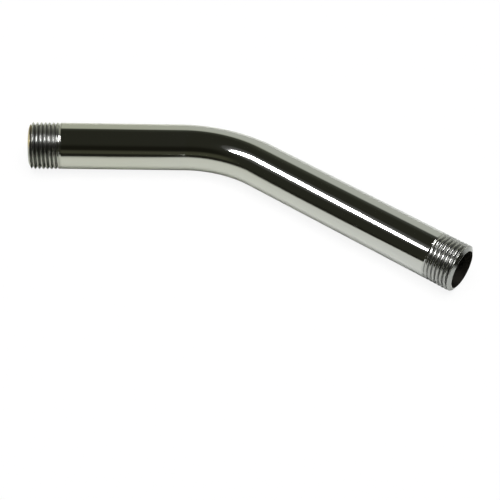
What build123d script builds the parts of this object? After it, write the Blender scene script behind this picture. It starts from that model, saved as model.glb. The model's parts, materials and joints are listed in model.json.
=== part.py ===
"""Shower arm: one bent length of drawn brass tube with a male pipe-thread spigot at each end."""

import os

from build123d import *

# The tube
tube_diameter = 20.6
tube_wall = 2.0

# Its centre line, from the wall end to the outlet end
wall_leg = 68.4
bend_radius = 55.0
bend_angle = 40.0
outlet_leg = 104.3

# The threaded spigots: the thread's crests are rolled up above the tube, and run out at a shoulder
crest_rise = 0.185
wall_spigot_length = 14.6
outlet_spigot_length = 13.3
shoulder_length = 1.0

# The turned ends: a thin lip round the bore, then a steep bevel up to the crests that leads the thread in
lip_width = 0.15
bevel_length = 1.15

tube_radius = tube_diameter / 2
bore_radius = tube_radius - tube_wall
crest_radius = tube_radius + crest_rise
lip_radius = bore_radius + lip_width

with BuildPart() as shower_arm:
    # Centre line in the XY plane: the wall end's face is at the origin, and the outlet leg bends towards -Y
    with BuildLine(mode=Mode.PRIVATE) as centre_line:
        wall_thread_run = Line((0, 0), (wall_spigot_length, 0))
        wall_run = Line(wall_thread_run @ 1, (wall_leg, 0))
        bend = JernArc(wall_run @ 1, wall_run % 1, bend_radius, -bend_angle)
        outlet_run = Line(bend @ 1, bend @ 1 + (bend % 1) * (outlet_leg - outlet_spigot_length))
        outlet_thread_run = Line(outlet_run @ 1, bend @ 1 + (bend % 1) * outlet_leg)

    # Plain tube between the two shoulders
    with BuildSketch(Plane.YZ.offset(wall_spigot_length)):
        Circle(tube_radius)
    sweep(path=Wire([wall_run, bend, outlet_run]))

    # Spigots, turned about their leg: each profile runs inwards from the end face to the shoulder
    wall_end = Plane(wall_thread_run @ 0, x_dir=wall_thread_run % 0, z_dir=(0, 0, 1))
    outlet_end = Plane(outlet_thread_run @ 1, x_dir=outlet_thread_run % 1 * -1, z_dir=(0, 0, 1))
    for end, spigot_length in ((wall_end, wall_spigot_length), (outlet_end, outlet_spigot_length)):
        with BuildSketch(end):
            with BuildLine():
                Polyline(
                    (0, 0),
                    (0, lip_radius),
                    (bevel_length, crest_radius),
                    (spigot_length - shoulder_length, crest_radius),
                    (spigot_length, tube_radius),
                    (spigot_length, 0),
                    close=True,
                )
            make_face()
        revolve(axis=Axis(end.origin, end.x_dir))

    # Waterway, the same bore all the way from face to face
    with BuildSketch(Plane.YZ):
        Circle(bore_radius)
    sweep(path=centre_line.wire(), mode=Mode.SUBTRACT)

shower_arm.part.label = "shower_arm"

os.makedirs("parts", exist_ok=True)
export_step(shower_arm.part, "parts/shower_arm.step")
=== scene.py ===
import json
import math

import bmesh
import bpy
import numpy as np
from mathutils import Matrix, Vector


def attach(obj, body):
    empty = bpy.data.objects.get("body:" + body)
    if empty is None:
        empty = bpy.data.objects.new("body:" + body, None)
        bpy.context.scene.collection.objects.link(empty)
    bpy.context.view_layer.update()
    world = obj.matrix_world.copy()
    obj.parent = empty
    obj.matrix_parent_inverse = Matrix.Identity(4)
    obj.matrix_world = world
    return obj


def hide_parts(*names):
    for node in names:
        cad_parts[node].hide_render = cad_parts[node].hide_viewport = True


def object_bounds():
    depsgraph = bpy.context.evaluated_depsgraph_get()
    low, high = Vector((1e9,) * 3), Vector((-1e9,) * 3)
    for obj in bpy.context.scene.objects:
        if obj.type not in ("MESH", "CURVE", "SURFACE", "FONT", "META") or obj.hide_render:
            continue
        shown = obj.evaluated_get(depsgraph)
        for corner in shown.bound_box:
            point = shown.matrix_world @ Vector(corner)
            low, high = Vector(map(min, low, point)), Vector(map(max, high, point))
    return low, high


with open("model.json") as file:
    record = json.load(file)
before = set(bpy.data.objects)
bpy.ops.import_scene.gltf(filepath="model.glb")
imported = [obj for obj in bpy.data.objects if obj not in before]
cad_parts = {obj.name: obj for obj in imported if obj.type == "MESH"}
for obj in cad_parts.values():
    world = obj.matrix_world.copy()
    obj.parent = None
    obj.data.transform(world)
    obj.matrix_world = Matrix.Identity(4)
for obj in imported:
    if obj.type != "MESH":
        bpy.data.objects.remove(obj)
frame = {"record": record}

cad_low, cad_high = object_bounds()

# The drawn tube: one length of thick-walled brass tube, bent once on a former with a mandrel inside it, so
# that the bore stays open. Its legs, bend and bore are read from the frame's mounts, which lie on the solid.
MM = 0.001
mounts = {mount["name"]: mount for mount in frame["record"]["mounts"]}
wall_way = mounts["wall_waterway"]
outlet_way = mounts["outlet_waterway"]
wall_leg = wall_way["dims"]["length_mm"] * MM
outlet_leg = outlet_way["dims"]["length_mm"] * MM
bore_radius = wall_way["dims"]["r_mm"] * MM
bend_angle = math.acos(outlet_way["axis"][0])
bend_end_x = outlet_way["pos_m"][0] - outlet_leg * outlet_way["axis"][0]
bend_radius = (bend_end_x - wall_leg) / math.sin(bend_angle)
bend_length = bend_radius * bend_angle
arm_length = wall_leg + bend_length + outlet_leg
crest_radius = mounts["wall_thread"]["dims"]["r_mm"] * MM
crest_rise = 0.185 * MM
tube_radius = crest_radius - crest_rise

# Cold bending presses the tube a little flat in the plane of the bend
bend_pinch = 0.03

columns = 160
turn = np.linspace(0.0, 2 * math.pi, columns + 1)


def round_the_arm(distance, radius):
    """Points round the centre line, by distance from the wall end and radius, both rows by columns.

    The line runs along +X for the wall leg, turns towards -Y on an arc of the bend's radius, and runs on
    straight. A point stands out from it by the radius, turned from the line's left side towards +Z. Within
    the bend the radius shrinks in the bend's plane by a share that swells and fades as a sine.
    """
    bent = np.clip((distance - wall_leg) / bend_radius, 0.0, bend_angle)
    past_bend = np.maximum(distance - wall_leg - bend_length, 0.0)
    line_x = np.minimum(distance, wall_leg) + bend_radius * np.sin(bent) + past_bend * np.cos(bent)
    line_y = -bend_radius * (1 - np.cos(bent)) - past_bend * np.sin(bent)
    pinch = bend_pinch * np.sin(math.pi * bent / bend_angle)
    left = radius * np.cos(turn) * (1 - pinch)
    up = radius * np.sin(turn)
    return np.stack([line_x + left * np.sin(bent), line_y + left * np.cos(bent), up], axis=-1)


def full_rows(stations, radius):
    """Plain rows of tube: the same distance and radius all round at each station."""
    distance = np.repeat(stations[:, None], columns + 1, axis=1)
    return round_the_arm(distance, np.full(distance.shape, radius))


wall_spigot = 14.6 * MM
outlet_spigot = 13.3 * MM
mouth_depth = 0.6 * MM
near_shoulder = 0.1 * MM
wall_rows = 20
bend_rows = 49
outlet_rows = 30
wall_stations = np.linspace(wall_spigot + near_shoulder, wall_leg, wall_rows)
bend_stations = wall_leg + np.linspace(0.0, bend_length, bend_rows)[1:-1]
outlet_start = wall_leg + bend_length
outlet_stations = np.linspace(outlet_start, arm_length - outlet_spigot - near_shoulder, outlet_rows)
tube_stations = np.concatenate([wall_stations, bend_stations, outlet_stations])
outside_stations = np.concatenate([[wall_spigot], tube_stations, [arm_length - outlet_spigot]])
inside_stations = np.concatenate([[mouth_depth], tube_stations, [arm_length - mouth_depth]])
outside = full_rows(outside_stations, tube_radius)
bore = full_rows(inside_stations, bore_radius)

# The threads: a right-hand pipe thread of 14 turns to the inch, cut into each end with a die. Its crests and
# roots are rounded, its grooves get shallower by the pipe taper and run out at the tube, and a short, steep
# bevel leads it in.
pitch = 25.4 * MM / 14
flank_angle = math.radians(27.5)
flank_rise = 1 / math.tan(flank_angle)
root_taper = 1 / 32
root_fill = 0.20 * MM
root_round = 0.20 * MM
run_out_round = 0.10 * MM
bevel_length = 1.05 * MM
bevel_round = 0.15 * MM
lip_width = 0.15 * MM
lip_radius = bore_radius + lip_width
# Crest and groove dullness also darken the plating's colour: painted shade in the thread.
crest_dullness_and_shade = 0.42
groove_dullness_and_shade = 0.90
bevel_dullness = 0.45
profile_steps = 24
spare_turns = 2


def soft_lower(one, other, rounding):
    """The lower of two heights, with the corner between them rounded off: a smooth minimum."""
    return 0.5 * (one + other - np.sqrt((one - other) ** 2 + rounding ** 2))


def soft_higher(one, other, rounding):
    """The higher of two heights, with the corner between them rounded off: a smooth maximum."""
    return -soft_lower(-one, -other, rounding)


def thread_rows(spigot, cut, start_turn, way, vee_depth, crest_round, run_out_rise):
    """Distances from the end, radii and dullness of a threaded spigot, on a grid that winds with the thread.

    Each row follows the helix, so the distance is the pitch times the row's turns plus or minus the share of
    a turn round the tube, held between the end's cut and the shoulder. The groove is a V whose depth shrinks
    with the distance by the root's taper, and whose height over its lowest line is the flank's rise times the
    distance from the groove's middle. It is rounded off against the root and against the crest, which comes
    down to the tube at the shoulder. The groove never lies below the slope on which it runs out, and nothing
    stands above the crest or the bevel, which are rounded off together. Dullness is 0 where the tube begins
    and grows on the crest and into the groove; the bevel, as it was turned, has its own. The same number also
    darkens the plating's colour; on the crests and in the groove this is painted shade.
    """
    last_turn = math.ceil(spigot / pitch + spare_turns)
    turns = np.arange(-profile_steps * spare_turns, last_turn * profile_steps + 1) / profile_steps
    wound = pitch * (turns[:, None] + start_turn + way * turn[None, :] / (2 * math.pi))
    distance = np.clip(wound, cut, spigot)
    from_groove = pitch * np.abs(turns - np.round(turns))[:, None]
    depth_here = vee_depth - root_taper * distance
    flank = crest_radius - depth_here + flank_rise * from_groove
    crest = crest_radius - crest_rise * distance / spigot
    root = crest_radius - depth_here + root_fill
    groove = soft_higher(flank, root, root_round)
    run_out = tube_radius - run_out_rise * (spigot - distance)
    vee = soft_higher(soft_lower(groove, crest, crest_round), run_out, run_out_round)
    slope = lip_radius + (crest_radius - lip_radius) * (distance - cut) / bevel_length
    bevel = np.maximum(soft_lower(slope, crest, bevel_round), lip_radius)
    radius = np.minimum(np.minimum(vee, crest), bevel)
    depth = np.clip((crest - radius) / (crest_radius - root), 0.0, 1.0)
    matt = crest_dullness_and_shade * np.clip((spigot - distance) / pitch, 0.0, 1.0)
    dullness_and_shade = np.where(bevel < vee, bevel_dullness, matt + (groove_dullness_and_shade - matt) * depth)
    return distance, radius, dullness_and_shade


def round_the_outlet(distance, radius):
    """Points round the centre line, by distance from the outlet end instead of the wall end."""
    return round_the_arm(arm_length - distance, radius)


outlet_lean = math.radians(1.5)
square_cut = 0 * turn
leaning_cut = math.tan(outlet_lean) * lip_radius * np.cos(turn)
wall_distance, wall_radius, wall_dullness_and_shade = thread_rows(
    wall_spigot,
    square_cut,
    start_turn=0.31,
    way=1,
    vee_depth=1.60 * MM,
    crest_round=0.14 * MM,
    run_out_rise=0.38,
)
outlet_distance, outlet_radius, outlet_dullness_and_shade = thread_rows(
    outlet_spigot,
    leaning_cut,
    start_turn=0.42,
    way=-1,
    vee_depth=1.28 * MM,
    crest_round=0.30 * MM,
    run_out_rise=0.68,
)
wall_thread = round_the_arm(wall_distance, wall_radius)
outlet_thread = round_the_outlet(outlet_distance, outlet_radius)

# The ends: each is cut off, deburred inside and left with a thin lip of bare brass round the bore.
# The wall end's cut is square, and the outlet's leans a little.
deburr = 0.05 * MM
mouth_radius = bore_radius + deburr


def lip_rows(cut):
    """Distances and radii of an end's lip: a flat ring along the cut, from the bevel in to the mouth."""
    radius = np.array([lip_radius, mouth_radius])[:, None] + 0 * turn
    return cut + 0 * radius, radius


def mouth_rows(cut):
    """Distances and radii of an end's mouth: a cone from the lip to the bore, square at the mouth's depth."""
    radius = np.array([mouth_radius, bore_radius])[:, None] + 0 * turn
    return np.stack([cut, mouth_depth + 0 * turn]), radius


wall_lip = round_the_arm(*lip_rows(square_cut))
wall_mouth = round_the_arm(*mouth_rows(square_cut))
outlet_lip = round_the_outlet(*lip_rows(leaning_cut))
outlet_mouth = round_the_outlet(*mouth_rows(leaning_cut))

# The whole arm: tube, threads, ends and bore are one length of metal, so they make one closed skin, welded
# where their rows meet. Each sheet of it is given with its dullness and painted shade, whether its rows run
# the other way round, and whether it is left unplated.
polished = 0.0
turned = 1.0
skin = [
    (outside, polished, False, False),
    (wall_thread, wall_dullness_and_shade, False, False),
    (outlet_lip, turned, False, True),
    (outlet_mouth, polished, False, True),
    (outlet_thread, outlet_dullness_and_shade, True, False),
    (wall_lip, turned, True, True),
    (wall_mouth, polished, True, True),
    (bore, polished, True, True),
]
weld_gap = 0.005 * MM
sharp_edge = math.radians(35)
points, dullness_and_shade, quads, unplated = [], [], [], []
count = 0
for sheet, sheet_dullness_and_shade, runs_back, is_bare in skin:
    corner = count + np.arange(sheet.shape[0] * sheet.shape[1]).reshape(sheet.shape[:2])
    ring = np.stack([corner[:-1, :-1], corner[:-1, 1:], corner[1:, 1:], corner[1:, :-1]], axis=-1)
    ring = ring.reshape(-1, 4)
    if runs_back:
        ring = ring[:, ::-1]
    points.append(sheet.reshape(-1, 3))
    dullness_and_shade.append(np.broadcast_to(sheet_dullness_and_shade, corner.shape).ravel())
    quads.append(ring)
    unplated.append(np.full(len(ring), is_bare))
    count += corner.size
mesh = bpy.data.meshes.new("shower_arm_plated")
mesh.from_pydata(np.concatenate(points).tolist(), [], np.concatenate(quads).tolist())
mesh.polygons.foreach_set("material_index", np.concatenate(unplated).astype(np.int32))
dull_and_shade_points = mesh.attributes.new("dullness_and_shade", "FLOAT", "POINT")
dull_and_shade_points.data.foreach_set("value", np.concatenate(dullness_and_shade))
weld = bmesh.new()
weld.from_mesh(mesh)
bmesh.ops.remove_doubles(weld, verts=weld.verts, dist=weld_gap)
weld.to_mesh(mesh)
weld.free()
mesh.polygons.foreach_set("use_smooth", np.ones(len(mesh.polygons), bool))
mesh.set_sharp_from_angle(angle=sharp_edge)
arm = bpy.data.objects.new("shower_arm_plated", mesh)
bpy.context.scene.collection.objects.link(arm)

# The plating: bright chrome over polished brass, with the faint waves that a polishing mop leaves. It is thin
# and dull in the grooves of the thread, where no mop reaches, and worn through to the brass at the upper edge
# of the wall end. Its colour is darkened with the dullness, a little on the crests and most in the grooves,
# as painted shade.
chrome_colour = (0.556, 0.560, 0.548)
dulled_and_shaded_colour = (0.17, 0.17, 0.165)
brass_colour = (0.55, 0.455, 0.26)
worn_depth = (1.1 * MM, 0.8 * MM)
worn_height = (4.5 * MM, 6.0 * MM)
gloss_range = (0.04, 0.09)
dulled_roughness = 0.35
smudges = {"scale": 90.0, "detail": 4.0}
waves = {"scale": 60.0, "detail": 1.0}
wave_height = 0.03 * MM


def feed(tree, socket, value):
    """Links another node's output to a socket, or sets the socket to a number, or to a colour made opaque."""
    if isinstance(value, bpy.types.NodeSocket):
        tree.links.new(value, socket)
    elif isinstance(value, tuple):
        socket.default_value = (*value, 1.0)
    else:
        socket.default_value = value


def ranged(tree, value, start, end, low=0.0, high=1.0, curve="LINEAR"):
    """A number that goes from low to high while the value goes from start to end, and is held beyond."""
    node = tree.nodes.new("ShaderNodeMapRange")
    node.interpolation_type = curve
    feed(tree, node.inputs["Value"], value)
    feed(tree, node.inputs["From Min"], start)
    feed(tree, node.inputs["From Max"], end)
    feed(tree, node.inputs["To Min"], low)
    feed(tree, node.inputs["To Max"], high)
    return node.outputs["Result"]


def calculated(tree, operation, one, other):
    """Two numbers joined by one of the Math node's operations."""
    node = tree.nodes.new("ShaderNodeMath")
    node.operation = operation
    feed(tree, node.inputs[0], one)
    feed(tree, node.inputs[1], other)
    return node.outputs["Value"]


def laid_over(tree, base, colour, share):
    """A colour laid over another by a share from 0 to 1."""
    node = tree.nodes.new("ShaderNodeMix")
    node.data_type = "RGBA"
    feed(tree, node.inputs["A"], base)
    feed(tree, node.inputs["B"], colour)
    feed(tree, node.inputs["Factor"], share)
    return node.outputs["Result"]


def noise(tree, place, scale, detail):
    """A cloudy number between 0 and 1 that follows the place given."""
    node = tree.nodes.new("ShaderNodeTexNoise")
    node.inputs["Scale"].default_value = scale
    node.inputs["Detail"].default_value = detail
    feed(tree, node.inputs["Vector"], place)
    return node.outputs["Fac"]


def split_up(tree, place):
    """The X, Y and Z of a place or direction, as a node's outputs."""
    node = tree.nodes.new("ShaderNodeSeparateXYZ")
    feed(tree, node.inputs[0], place)
    return node.outputs


def metal(name, metallic):
    """A material with one Principled shader; gives it with its node tree, shader and Object coordinates."""
    material = bpy.data.materials.new(name)
    material.use_nodes = True
    tree = material.node_tree
    shader = tree.nodes["Principled BSDF"]
    shader.inputs["Metallic"].default_value = metallic
    return material, tree, shader, tree.nodes.new("ShaderNodeTexCoord").outputs["Object"]


chrome, tree, shader, place = metal("chrome_plate", metallic=1.0)
along = split_up(tree, place)
groove = tree.nodes.new("ShaderNodeAttribute")
groove.attribute_name = "dullness_and_shade"
# The dullness darkens the chrome's colour here: on the crests and in the grooves this is painted shade.
plated = laid_over(tree, chrome_colour, dulled_and_shaded_colour, groove.outputs["Fac"])
near_end = ranged(tree, along["X"], *worn_depth)
on_top = ranged(tree, along["Z"], *worn_height)
worn = calculated(tree, "MULTIPLY", near_end, on_top)
feed(tree, shader.inputs["Base Color"], laid_over(tree, plated, brass_colour, worn))
gloss = ranged(tree, noise(tree, place, **smudges), 0.0, 1.0, *gloss_range)
rough = ranged(tree, groove.outputs["Fac"], 0.0, 1.0, gloss, dulled_roughness)
feed(tree, shader.inputs["Roughness"], rough)
polish = tree.nodes.new("ShaderNodeBump")
polish.inputs["Distance"].default_value = wave_height
feed(tree, polish.inputs["Height"], noise(tree, place, **waves))
feed(tree, shader.inputs["Normal"], polish.outputs["Normal"])
mesh.materials.append(chrome)

# The bore and the lips: brass as it was drawn and cut, unplated. It is dull and a little blotched; its
# near-black colour is partly darkened brass and partly painted shade for the inside of the tube.
stain_and_shade_colours = ((0.008, 0.007, 0.006), (0.026, 0.022, 0.015))
stain_roughness = (0.5, 0.75)
blotches = {"scale": 400.0, "detail": 5.0}
bare_brass, tree, shader, place = metal("drawn_bore", metallic=0.7)
blotch = noise(tree, place, **blotches)
# Near-black colours: partly painted shade inside the bore.
feed(tree, shader.inputs["Base Color"], laid_over(tree, *stain_and_shade_colours, blotch))
feed(tree, shader.inputs["Roughness"], ranged(tree, blotch, 0.0, 1.0, *stain_roughness))
mesh.materials.append(bare_brass)
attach(arm, "root")
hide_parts("shower_arm")

# The table: a wide white sheet under the arm. The plating mirrors it as it is lit, with painted shade over
# its front left and front right, and with a painted light tint that is a little greener on the left than on
# the right; to the camera it is plain white with the arm's faint shadow.
floor_level = cad_low.z
reach = 3.0
left_shade_corner = (30 * MM, -110 * MM, floor_level)
left_shade_edge = (42 * MM, 82 * MM)
right_shade_x = (260 * MM, 215 * MM)
right_shade_y = (-90 * MM, -40 * MM)
shade_colour = (0.022, 0.022, 0.015)
sheet_light_tints = ((0.886, 0.903, 0.78), (0.935, 0.954, 0.917))
sheet_change_x = (40 * MM, 170 * MM)
shadow_share = (0.12, 0.12, 0.12)
plain_white = 0.89
table_mesh = bpy.data.meshes.new("table")
table_mesh.from_pydata(
    [
        (-reach, -reach, floor_level),
        (reach, -reach, floor_level),
        (reach, reach, floor_level),
        (-reach, reach, floor_level),
    ],
    [],
    [(0, 1, 2, 3)],
)
table = bpy.data.objects.new("table", table_mesh)
bpy.context.scene.collection.objects.link(table)
paper = bpy.data.materials.new("white_paper")
paper.use_nodes = True
tree = paper.node_tree
tree.nodes.clear()
place = tree.nodes.new("ShaderNodeTexCoord").outputs["Object"]
spread = split_up(tree, place)
from_corner = tree.nodes.new("ShaderNodeVectorMath")
from_corner.operation = "SUBTRACT"
from_corner.inputs[1].default_value = left_shade_corner
feed(tree, from_corner.inputs[0], place)
beyond = tree.nodes.new("ShaderNodeVectorMath")
beyond.operation = "MAXIMUM"
beyond.inputs[1].default_value = (0, 0, 0)
feed(tree, beyond.inputs[0], from_corner.outputs[0])
away = tree.nodes.new("ShaderNodeVectorMath")
away.operation = "LENGTH"
feed(tree, away.inputs[0], beyond.outputs[0])
# Painted shade: past these edges the mirrored sheet turns dark at the front left and front right.
off_left = ranged(tree, away.outputs["Value"], *left_shade_edge, curve="SMOOTHSTEP")
short_of_right = ranged(tree, spread["X"], *right_shade_x, curve="SMOOTHSTEP")
short_of_front = ranged(tree, spread["Y"], *right_shade_y, curve="SMOOTHSTEP")
off_right = calculated(tree, "MAXIMUM", short_of_right, short_of_front)
in_light = calculated(tree, "MULTIPLY", off_left, off_right)
# Painted light tint: the mirrored sheet is a little greener on the left and cooler on the right.
sheet_light_tint = laid_over(tree, *sheet_light_tints, ranged(tree, spread["X"], *sheet_change_x))
mirrored = tree.nodes.new("ShaderNodeBsdfDiffuse")
feed(tree, mirrored.inputs["Color"], laid_over(tree, shade_colour, sheet_light_tint, in_light))
shadowed = tree.nodes.new("ShaderNodeBsdfDiffuse")
feed(tree, shadowed.inputs["Color"], shadow_share)
white = tree.nodes.new("ShaderNodeEmission")
white.inputs["Strength"].default_value = plain_white
shown = tree.nodes.new("ShaderNodeAddShader")
feed(tree, shown.inputs[0], shadowed.outputs[0])
feed(tree, shown.inputs[1], white.outputs[0])
path = tree.nodes.new("ShaderNodeLightPath").outputs
pick = tree.nodes.new("ShaderNodeMixShader")
feed(tree, pick.inputs["Fac"], path["Is Camera Ray"])
feed(tree, pick.inputs[1], mirrored.outputs[0])
feed(tree, pick.inputs[2], shown.outputs[0])
output = tree.nodes.new("ShaderNodeOutputMaterial")
feed(tree, output.inputs["Surface"], pick.outputs[0])
table_mesh.materials.append(paper)

# The studio: a dark room with a pale wall behind the table, a little cooler at the right. What lights the
# table is a soft light high up and slightly to the front. Plain white shows where the camera looks past both.
room_colour = (0.030, 0.031, 0.023)
front_y = (-0.45, -0.8)
behind_y = (0.0, 0.5)
warm_side = (1.0, 1.0, 0.92)
cool_side = (1.08, 1.08, 1.12)
cooling_x = (-0.06, 0.09)
key_height = math.radians(78)
key_strength = 5.0
key_rest = 0.05
key_edge = math.sin(math.radians(55))
key_full = math.sin(math.radians(80))
world = bpy.data.worlds.new("studio")
bpy.context.scene.world = world
world.use_nodes = True
world.cycles.sampling_method = "NONE"
tree = world.node_tree
direction = tree.nodes.new("ShaderNodeTexCoord").outputs["Generated"]
towards = split_up(tree, direction)


def height(degrees):
    """The Z of a direction that many degrees above the horizon."""
    return math.sin(math.radians(degrees))


def wall_band(base, colour, side, clear_above, full_below):
    """A colour laid over one side of the room, which fades in between two heights in degrees, downwards."""
    low_down = ranged(tree, towards["Z"], height(clear_above), height(full_below), curve="SMOOTHSTEP")
    return laid_over(tree, base, colour, calculated(tree, "MULTIPLY", side, low_down))


front = ranged(tree, towards["Y"], *front_y, curve="SMOOTHSTEP")
behind = ranged(tree, towards["Y"], *behind_y, curve="SMOOTHSTEP")
room = wall_band(room_colour, (0.013, 0.013, 0.009), front, 52, 32)
room = wall_band(room, (0.070, 0.071, 0.048), front, 22, 10)
room = wall_band(room, (0.075, 0.080, 0.063), behind, 64, 46)
room = wall_band(room, (0.60, 0.62, 0.53), behind, 48, 41)
rightwards = ranged(tree, towards["X"], *cooling_x, curve="SMOOTHSTEP")
room_tint = tree.nodes.new("ShaderNodeMix")
room_tint.data_type = "RGBA"
room_tint.blend_type = "MULTIPLY"
room_tint.inputs["Factor"].default_value = 1.0
feed(tree, room_tint.inputs["A"], room)
feed(tree, room_tint.inputs["B"], laid_over(tree, warm_side, cool_side, rightwards))
towards_key = tree.nodes.new("ShaderNodeVectorMath")
towards_key.operation = "DOT_PRODUCT"
towards_key.inputs[1].default_value = (0.0, -math.cos(key_height), math.sin(key_height))
feed(tree, towards_key.inputs[0], direction)
key_light = ranged(
    tree,
    towards_key.outputs["Value"],
    key_edge,
    key_full,
    key_rest,
    key_strength,
    curve="SMOOTHSTEP",
)
path = tree.nodes.new("ShaderNodeLightPath").outputs
lit_from = laid_over(tree, room_tint.outputs["Result"], key_light, path["Is Diffuse Ray"])
seen = laid_over(tree, lit_from, (1.0, 1.0, 1.0), path["Is Camera Ray"])
feed(tree, tree.nodes["Background"].inputs["Color"], seen)

# The lamps: two oval softboxes, high on the left and on the right of the camera, a little to the front. The
# left one is wider, lower and further off. Each fades out past its edge in ever wider and fainter rims, given
# as shares of its distance with their strengths.
view_azimuth = math.radians(4.629)
lit_point = (0.125, -0.04, 0.0)
lamps = {
    "softbox_left": {"azimuth": 76.2, "height": 48.6, "distance": 0.75, "width": 0.41, "depth": 0.134},
    "softbox_right": {"azimuth": -72.5, "height": 59.0, "distance": 0.60, "width": 0.27, "depth": 0.13},
}
lamp_rims = {0.0: 26.0, 0.08: 0.35, 0.18: 0.13, 0.28: 0.08, 0.43: 0.05}
rim_widening = 0.3
for name, lamp_sizes in lamps.items():
    lamp_azimuth = math.radians(lamp_sizes["azimuth"])
    lamp_height = math.radians(lamp_sizes["height"])
    aimed = (
        Matrix.Translation(lit_point)
        @ Matrix.Rotation(math.pi - view_azimuth - lamp_azimuth, 4, "Z")
        @ Matrix.Rotation(lamp_height - math.pi / 2, 4, "X")
    )
    for rim, strength in lamp_rims.items():
        lamp = bpy.data.lights.new(name, "AREA")
        lamp.shape = "ELLIPSE"
        lamp.size = lamp_sizes["width"] + rim_widening * rim * lamp_sizes["distance"]
        lamp.size_y = lamp_sizes["depth"] + rim * lamp_sizes["distance"]
        lamp.energy = strength * math.pi * math.pi * lamp.size * lamp.size_y / 4
        softbox = bpy.data.objects.new(name, lamp)
        softbox.matrix_world = aimed @ Matrix.Translation((0, 0, lamp_sizes["distance"]))
        softbox.visible_camera = False
        softbox.visible_diffuse = False
        bpy.context.scene.collection.objects.link(softbox)

# The camera: where the photograph was taken from, above the front of the table and turned a little round its
# own line of sight.
view_height = math.radians(41.764)
view_roll = math.radians(3.588)
view_distance = 572.18 * MM
view_point = (96.315 * MM, -68.976 * MM, 0.0)
lens = bpy.data.cameras.new("camera")
lens.sensor_width = 36.0
lens.lens = 99.22
lens.clip_start = 0.01
camera = bpy.data.objects.new("camera", lens)
view_turn = (
    Matrix.Rotation(-view_azimuth, 4, "Z")
    @ Matrix.Rotation(math.pi / 2 - view_height, 4, "X")
    @ Matrix.Rotation(view_roll, 4, "Z")
)
back_off = view_turn @ Matrix.Translation((0, 0, view_distance))
camera.matrix_world = Matrix.Translation(view_point) @ back_off
bpy.context.scene.collection.objects.link(camera)
bpy.context.scene.camera = camera
bpy.context.scene.view_settings.view_transform = "Standard"
